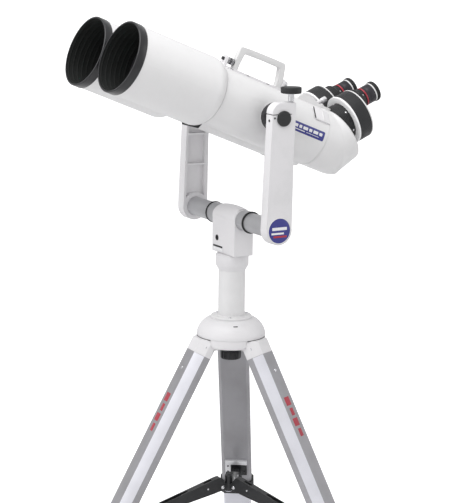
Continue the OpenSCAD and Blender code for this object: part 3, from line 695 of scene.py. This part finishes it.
def dress_handle_bolt():
    """Nuts and washers on a fore-and-aft axis above the tubes; local z points back."""
    place = BINO @ shift(0, 0, 101) @ turn_x(-90)
    lathe("handle_thumb_nut", "binocular", place, STEEL, [
        (4.2, -72.2), (7.0, -72.0), (7.8, -71.4), (7.9, -70.6), (7.9, -65.0), (7.5, -64.0),
        (6.2, -63.6), (6.2, -61.8), (7.5, -61.4), (7.9, -60.4), (7.9, -54.4), (7.5, -53.4),
        (4.2, -53.0)], segments=192, wave=thumb_ribs)
    lathe("handle_lug_washer", "binocular", place, STEEL, [
        (4.4, -73.0), (9.4, -72.9), (9.6, -72.6), (9.4, -72.1), (4.4, -72.0)], segments=60)
    hexagon = [(8.0 * cos(radians(60 * i)), 8.0 * sin(radians(60 * i))) for i in range(6)]
    prism("handle_hex_nut", "binocular", place, STEEL, hexagon, (102.0, 109.6), bevel=0.7)
    lathe("handle_hex_washer", "binocular", place, STEEL, [
        (0, 101.5), (9.4, 101.4), (9.6, 101.9), (9.3, 102.4), (0, 102.4)], segments=60)


def dress_saddle():
    for side, letter in ((-1, "b"), (1, "a")):
        for q, y in enumerate((-78, -30, 30, 78)):
            screw(f"saddle_screw_{letter}_{q}", "binocular",
                  BINO @ shift(side * 48, y, 76.9), radius=4.6, height=2.8, mat=BLACK)
    prism("saddle_stop_pad", "binocular", BINO @ EDGE_ON, CRINKLE, [
        (-126, -70), (-120, -81), (-92, -78), (-84, -62), (-92, -56), (-118, -58)],
        (-16, 16), bevel=1.0)


# (y, z) outline of the carrying handle: over the top, then back along the inside
HANDLE_LOOP = [
    (-51, 86), (-51, 106), (-48.4, 137), (-47.3, 140.2), (-45, 142.6), (-41.5, 144),
    (-20, 145.2), (20, 146.5), (60, 147), (80, 146.9), (84, 145.6), (86.6, 142.5),
    (88.4, 137), (94, 108), (94, 86),
    (79, 86), (79.5, 100), (74, 129), (72.5, 131.6), (69.5, 132.6), (50, 132.6),
    (20, 132.3), (-10, 131.2), (-27, 130.4), (-31.5, 128.6), (-33.2, 124.5), (-37, 100),
    (-37.5, 86)]

dress_handle_bolt()
dress_saddle()
handle_loop = prism("handle_loop", "binocular", BINO @ EDGE_ON, HANDLE, HANDLE_LOOP,
                    (-7.2, 7.2), bevel=1.4)
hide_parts("handle")


# ---------------------------------------------------------------- fork
# name, y span, z span, material of each bar on the badge
BADGE_BARS = (("a", (-20, 20), (1.5, 8.5), PRINT),
              ("b", (-22, 12), (-8.5, -4.0), PRINT),
              ("c", (-16, 20), (-16.0, -11.5), RED))


def dress_fork_arm(num, side):
    place = shift(0, 0, CROSS_Z) @ turn_y(90 * side)   # local z points outwards
    lathe(f"arm_{num}_badge_rim", "fork", place, WHITE, [
        (29.4, 211.6), (30.9, 211.7), (31.1, 212.6), (30.7, 213.1), (29.9, 213.2),
        (29.4, 212.9)])
    lathe(f"arm_{num}_badge", "fork", place, BLUE, [
        (0, 212.9), (10, 212.9), (20, 212.85), (28.6, 212.7), (29.6, 212.4), (29.7, 211.8),
        (0, 211.8)])
    face = shift(side * 212.85, 0, CROSS_Z) @ turn_z(0 if side > 0 else 180)
    for letter, y_span, z_span, mat in BADGE_BARS:
        block(f"arm_{num}_badge_bar_{letter}", "fork", face, mat,
              (0, 0.45), y_span, z_span, bevel=0.15)
    lathe(f"shaft_{num}_sleeve_skin", "fork", place, SATIN, [
        (24.6, 53.4), (25.3, 53.6), (25.45, 54.2), (25.45, 82.6), (25.2, 83.6),
        (24.6, 83.8)])
    lathe(f"shaft_{num}_ring_skin", "fork", place, CRINKLE, [
        (25.4, 84.1), (26.6, 84.2), (26.8, 84.7), (26.8, 87.7), (26.5, 88.2), (25.4, 88.3)])
    screw(f"arm_{num}_setscrew", "fork",
          shift(side * 210.2, PIVOT_Y - 23.6, PIVOT_Z + 1.6) @ turn_y(90 * side),
          radius=2.5, height=1.4, mat=BLACK)
    screw(f"arm_{num}_front_screw", "fork",
          shift(side * 198, PIVOT_Y - 30.0, PIVOT_Z - 5) @ turn_x(90),
          radius=3.2, height=1.2, mat=BLACK)


def dress_clamp_knob(num, side):
    """Knob standing on top of the fork arm."""
    body, place = f"clamp_knob_{num}", shift(side * 198, PIVOT_Y + 28, PIVOT_Z)
    lathe(f"clamp_{num}_rim", body, place, CRINKLE, [
        (21.8, 56.4), (23.4, 56.8), (24.15, 58.0), (24.2, 69.2), (23.7, 70.4), (22.3, 71.2),
        (19, 71.5), (18.4, 71.0), (18.4, 56.6)],
        segments=240, wave=ripple(count=40, depth=0.22, above=23.5))
    lathe(f"clamp_{num}_top", body, place, CRINKLE, [
        (0, 71.25), (6, 71.3), (17.6, 71.35), (18.8, 71.0), (18.8, 70.0), (0, 70.0)])
    lathe(f"clamp_{num}_stem", body, place, STEEL, [
        (6.0, 36.3), (7.1, 36.4), (7.35, 36.8), (7.35, 38.4), (6.95, 38.9), (6.95, 54.4),
        (7.6, 56.4), (6.0, 56.6)], segments=72)


PLATE_X, PLATE_Y, PLATE_THICK = -24.5, -26.0, 0.7


def dress_hub_plate():
    """Plain plate on the front of the hub, with a dark band and three short rules."""
    def slab(name, mat, x, y, z, outline, thick, bevel):
        prism(name, "fork", shift(x, y, HUB_Z + z) @ turn_x(90), mat, outline,
              (0, thick), bevel=bevel)

    print_y = PLATE_Y - PLATE_THICK
    slab("hub_plate", PRINT, PLATE_X, PLATE_Y, 9.6,
         rounded_rectangle(46, 15.5, 1.2), PLATE_THICK, bevel=0.2)
    slab("hub_plate_band", CRINKLE, PLATE_X, print_y, 14.4,
         rounded_rectangle(44, 4.6, 0.8), 0.35, bevel=0.1)
    for q, (x0, x1) in enumerate(((-43, -30), (-27, -20), (-17, -5))):
        slab(f"hub_plate_rule_{q}", PALE, (x0 + x1) / 2, print_y, 7.5,
             rounded_rectangle(x1 - x0, 1.5, 0.3), 0.35, bevel=0.1)


def dress_hub():
    """Domed upper half of the hub along the cross shaft, and a skirt below it."""
    half, base, rise = 46.0, 26.6, 4.4
    threshold = 26.5                        # radii beyond this belong to the dome
    dome = [(26.3, -half)]
    dome += [(base + rise * (1 - (z / half) ** 2) ** 0.7, z) for z in range(-44, 45, 4)]
    dome += [(26.3, half), (25.6, half), (25.6, -half)]

    def fade(angle, radius, z):
        """Draws the dome in towards its front and back edges."""
        if radius <= threshold:
            return 0.0
        return -(radius - threshold) * (1 - abs(cos(angle)) ** 0.6)

    lathe("hub_dome", "fork", shift(0, 0, CROSS_Z) @ turn_y(90), CAST, dome,
          span=(radians(90), radians(270)), wave=fade)
    lathe("hub_underside_bead", "stand", WORLD, CAST, [
        (39.2, HUB_Z - 3.2), (40.25, HUB_Z - 3.4), (40.3, HUB_Z - 27.6),
        (39.8, HUB_Z - 28.6), (39.2, HUB_Z - 28.4)], segments=128)


for num, side in SIDES:
    dress_fork_arm(num, side)
    dress_clamp_knob(num, side)
dress_hub_plate()
dress_hub()


# ---------------------------------------------------------------- pillar and head
def dress_pillar():
    for q in range(3):
        screw(f"pillar_flange_screw_{q}", "stand",
              polar(42.3, LEG_ANGLES[q] + 60, 734.3), radius=3.6, height=2.2)
    lathe("pillar_flange_bead", "stand", WORLD, WHITE, [
        (49.2, 729.0), (50.2, 729.2), (50.45, 730.0), (50.45, 732.4), (50.1, 733.6),
        (49.2, 734.5), (47.9, 734.8), (47.7, 734.2), (48.8, 733.4)], segments=128)
    prism("crown_level_slot", "stand",
          turn_z(-22) @ shift(69.2, 0, 719.0) @ turn_y(47), CRINKLE,
          rounded_rectangle(2.6, 11.0, 1.2), (-0.6, 0.7), bevel=0.2)


LOBE_HALF = radians(31)


def lobe_lift(angle, z):
    """Rounds the lower corners up over the last three of twelve steps at each end."""
    if z >= 670:
        return 0.0
    return 5.0 * (1 - min(1.0, 4 * (1 - abs(angle) / LOBE_HALF))) ** 2


def dress_crown():
    for q in range(3):                      # lobes of the casting between the legs
        lathe(f"head_lobe_{q}", "stand", turn_z(LEG_ANGLES[q] + 60), CAST, [
            (60, 663.5), (78.5, 662.6), (81.2, 663.2), (82.5, 665.2), (83.1, 669.0),
            (83.6, 684.6), (60, 684.6)],
            segments=24, span=(-LOBE_HALF, LOBE_HALF), lift=lobe_lift)
    lathe("crown_rim_bead", "stand", WORLD, CAST, [
        (82.6, 684.4), (84.0, 685.2), (84.35, 686.6), (84.35, 692.6), (84.1, 693.8),
        (82.8, 694.0)], segments=160)
    for q in range(3):                      # dark line over each leg
        middle = LEG_ANGLES[q]
        lathe(f"crown_seam_{q}", "stand", WORLD, CRINKLE, [
            (81.6, 683.2), (84.6, 683.4), (84.9, 684.0), (84.6, 684.6), (81.6, 684.6)],
            segments=24, span=(radians(middle - 27), radians(middle + 27)))


def finger_grooves(angle, radius, z):
    """Nine hollows round the knob."""
    return -1.9 * max(0.0, cos(9 * angle)) ** 2 if radius > 24.9 else 0.0


dress_pillar()
dress_crown()
lathe("centre_boss_cap", "stand", WORLD, CAST, [
    (9.8, 645.8), (11.4, 646.2), (11.6, 647.0), (11.6, 655.0), (9.8, 655.4)], segments=60)
lathe("centre_knob_grip", "centre_knob", WORLD, MOULDED, [
    (20.6, 624.3), (23.6, 624.9), (25.3, 626.6), (25.9, 629.2), (25.9, 641.0),
    (25.2, 643.6), (23.2, 645.4), (20.6, 645.8)], segments=216, wave=finger_grooves)

# ---------------------------------------------------------------- legs
Y_SIDES = ((-1, "n"), (1, "p"))             # sign of local y, letter used in names
# (x, y) section of the painted socket
SOCKET = [(21.2, 20.1), (-0.9, 39.25), (-17.1, 39.25), (-22.2, 32.1),
          (-22.2, -32.1), (-17.1, -39.25), (-0.9, -39.25), (21.2, -20.1)]
SOCKET_FOOT = -20.8
CROWN_UNDERSIDE = 683.9                     # world height that the socket reaches
LEG_MARKS = ((-160, -138), (-186, -167), (-213, -193), (-240, -220))   # z spans


def paint_leg_flank_sheen(num, place):
    """Painted sheen: strips of lighter aluminium along the two slanting flanks of the
    extrusion, standing in for light reflected there.
    """
    front, rear = (20.4, 20.5), (-0.4, 38.5)
    thick_x, thick_y = 0.6536 * 0.35, 0.7568 * 0.35    # flank normal times thickness
    strip = [front, rear, (rear[0] + thick_x, rear[1] + thick_y),
             (front[0] + thick_x, front[1] + thick_y)]
    for sign, letter in Y_SIDES:
        outline = [(x, sign * y) for x, y in strip][::sign]
        # painted sheen: each strip lays the lighter aluminium over one flank of the darker leg,
        # where light is reflected
        prism(f"leg_{num}_flank_sheen_{letter}", f"leg_{num}", place, LEG_INNER_AND_SHEEN, outline,
              (-503, -21.6), bevel=0.1)


def dress_leg_socket(num, place):
    body, lean = f"leg_{num}", radians(LEG_LEAN)
    screw(f"leg_{num}_socket_screw", body, place @ shift(20.9, 0, -68.5) @ turn_y(90),
          radius=4.4, height=2.2)
    lower = [(x, y, SOCKET_FOOT) for x, y in SOCKET]
    # the upper ring is cut level, where the walls meet the underside of the crown
    upper = [(x, y, (CROWN_UNDERSIDE - LEG_Z - x * sin(lean)) / cos(lean))
             for x, y in SOCKET]
    loft(f"leg_{num}_socket_skin", body, place, CAST, lower, upper, bevel=1.2)


def dress_leg_faces(num, place):
    """Red bars and collar slot on the outer face, screwed plate on the inner face."""
    body = f"leg_{num}"
    for q, z_span in enumerate(LEG_MARKS):
        odd = q % 2
        block(f"leg_{num}_mark_{q}", body, place, RED,
              (20.95, 21.2), (-11 + odd * 5, 9 - odd * 2), z_span, bevel=0.08)
    block(f"leg_{num}_collar_split", body, place, CRINKLE,
          (24.6, 26.4), (-1.0, 1.0), (-547, -536), bevel=0.3)
    prism(f"leg_{num}_inner_plate", body, place @ EDGE_ON_BACK, PLATED, [
        (-29, -437), (-29, -423), (29, -423), (29, -470), (14.5, -470), (14.5, -437)],
        (22.1, 28.2), bevel=0.5)
    for sign, letter in Y_SIDES:
        for depth in (462, 442):
            screw(f"leg_{num}_plate_screw_{letter}_{depth}", body,
                  place @ shift(-28.1, sign * 21.5, -depth) @ turn_y(-90),
                  radius=2.7, height=1.5, mat=CRINKLE)


for i in range(3):
    num, place = i + 1, leg(i)
    paint_leg_flank_sheen(num, place)
    dress_leg_socket(num, place)
    dress_leg_faces(num, place)
    lathe(f"leg_knob_{num}_cap", f"leg_knob_{num}",
          place @ shift(0, 0, -524) @ turn_y(90), MOULDED, [
              (0, 52.4), (9.5, 52.3), (12.5, 51.9), (14.0, 51.2), (14.0, 50.6), (0, 50.6)],
          segments=72)
    for q in range(3):
        block(f"leg_foot_{num}_rib_{q}", f"leg_extension_{num}", place, RUBBER,
              (20.5, 23.2), (-19, 19), (-730 + 9 * q, -726 + 9 * q), bevel=0.6)


# ---------------------------------------------------------------- brace
RIVETS = ((0, 0, 4.4), (40, 9, 2.6), (BRACE_LENGTH - 70, 1, 2.6))      # x, z, radius


def dress_brace_arm(num, place):
    """Rivets on both cheeks of the channel, then a lip along each lower edge."""
    body = f"spreader_arm_{num}"
    for sign, letter in Y_SIDES:
        for q, (x, z, radius) in enumerate(RIVETS):
            lathe(f"brace_{num}_rivet_{letter}_{q}", body,
                  place @ shift(x, sign * 9.4, z) @ turn_x(-90 * sign), STEEL, [
                      (0, 1.6), (radius * 0.5, 1.5), (radius * 0.85, 1.0), (radius, 0.2),
                      (radius, -0.4), (0, -0.4)], segments=30)
    for sign, letter in Y_SIDES:
        block(f"brace_{num}_lip_{letter}", body, place, MOULDED, (22, BRACE_LENGTH - 40),
              (sign * 9.3 - 0.7, sign * 9.3 + 0.7), (-8.2, -6.4), bevel=0.4)


for i in range(3):
    dress_brace_arm(i + 1, turn_z(LEG_ANGLES[i]) @ shift(BRACE_R, 0, BRACE_Z)
                    @ turn_y(BRACE_SLOPE))
lathe("brace_hub_cap", "spreader_hub", WORLD, MOULDED, [
    (0, 324.6), (6, 324.5), (9.4, 324.0), (10.3, 322.8), (10.3, 318.6), (9.6, 318.0),
    (0, 318.0)], segments=60)
lathe("brace_hub_foot", "spreader_hub", WORLD, LEG_INNER_AND_SHEEN, [
    (0, 281.8), (7.2, 281.8), (8.6, 282.6), (9.2, 284.2), (0, 284.4)], segments=60)

# ---------------------------------------------------------------- stage (metres)
VIEW_AZIMUTH, VIEW_ELEVATION, VIEW_ROLL = radians(59.29), radians(10.82), radians(0.85)
AWAY = Vector((-sin(VIEW_AZIMUTH), cos(VIEW_AZIMUTH), 0))      # level, from the camera
ACROSS = Vector((cos(VIEW_AZIMUTH), sin(VIEW_AZIMUTH), 0))     # level, to camera right
UP = Vector((0, 0, 1))


def studio_sweep():
    """Floor that curves up into a wall behind the stand."""
    radius, flat_end, steps = 2.5, 2.0, 12
    wall = flat_end + radius
    profile = [(-7.0, 0.0)] + [(-5.0 + k, 0.0) for k in range(8)]      # (away, height)
    for k in range(1, steps + 1):
        angle = radians(90 * k / steps)
        profile.append((flat_end + radius * sin(angle), radius - radius * cos(angle)))
    profile += [(wall, 4.0), (wall, 9.0)]
    widths = (-9, -4, 0, 4, 9)
    drop = 0.4                              # mm below the feet
    verts, faces = [], []
    for away, height in profile:
        for width in widths:
            point = AWAY * away + ACROSS * width
            verts.append((point.x / MM, point.y / MM, height / MM - drop))
    row = len(widths)
    for i in range(len(profile) - 1):
        for j in range(row - 1):
            a = i * row + j
            faces.append((a, a + 1, a + row + 1, a + row))
    mesh("studio_sweep", WORLD, floor_paper(), verts, faces)


def white_world():
    world = bpy.data.worlds.new("studio_world")
    bpy.context.scene.world = world
    world.use_nodes = True
    tree = world.node_tree
    tree.nodes.clear()
    output = tree.nodes.new("ShaderNodeOutputWorld")
    background = tree.nodes.new("ShaderNodeBackground")
    background.inputs["Color"].default_value = (1.0, 1.0, 1.0, 1)
    background.inputs["Strength"].default_value = 0.76
    tree.links.new(background.outputs[0], output.inputs[0])


def area_light(name, offset, size, power, aim=0.0):
    """Rectangular light at an offset from CENTRE, aimed at a height above it."""
    light = bpy.data.lights.new(name, "AREA")
    light.shape = "RECTANGLE"
    light.size, light.size_y = size
    light.energy = power
    lamp = bpy.data.objects.new(name, light)
    bpy.context.scene.collection.objects.link(lamp)
    lamp.location = CENTRE + offset
    direction = CENTRE + UP * aim - (CENTRE + offset)
    lamp.rotation_euler = direction.to_track_quat("-Z", "Y").to_euler()


def add_camera():
    distance = 4.37589                      # from the tilt axis
    left, down = 0.0276530, 0.3423775       # the camera's shift in its own plane
    back = Vector((sin(VIEW_AZIMUTH) * cos(VIEW_ELEVATION),
                   -cos(VIEW_AZIMUTH) * cos(VIEW_ELEVATION), sin(VIEW_ELEVATION)))
    level_up = back.cross(ACROSS)
    right = ACROSS * cos(VIEW_ROLL) + level_up * sin(VIEW_ROLL)
    upward = level_up * cos(VIEW_ROLL) - ACROSS * sin(VIEW_ROLL)
    data = bpy.data.cameras.new("camera")
    camera = bpy.data.objects.new("camera", data)
    bpy.context.scene.collection.objects.link(camera)
    matrix = Matrix((right, upward, back)).transposed().to_4x4()
    pivot = Vector((0, PIVOT_Y, PIVOT_Z)) * MM
    matrix.translation = pivot + back * distance - right * left - upward * down
    camera.matrix_world = matrix
    data.sensor_fit = "HORIZONTAL"
    data.sensor_width = 36.0
    data.lens = 145.4568
    data.clip_start = 0.05
    data.clip_end = 60
    bpy.context.scene.camera = camera


studio_sweep()
white_world()
CENTRE = Vector((0, 0, 0.95))
area_light("key_top", UP * 2.2 - AWAY * 0.8 - ACROSS * 0.8, size=(2.2, 2.2), power=50, aim=0.2)
area_light("fill_left", -AWAY * 2.0 - ACROSS * 2.6 + UP * 0.5, size=(1.8, 2.4), power=10)
area_light("rim_right", -AWAY * 0.4 + ACROSS * 2.6 + UP * 0.8, size=(1.2, 2.2), power=6)
add_camera()
bpy.context.scene.view_settings.view_transform = "Standard"
bpy.context.scene.view_settings.exposure = 0.0
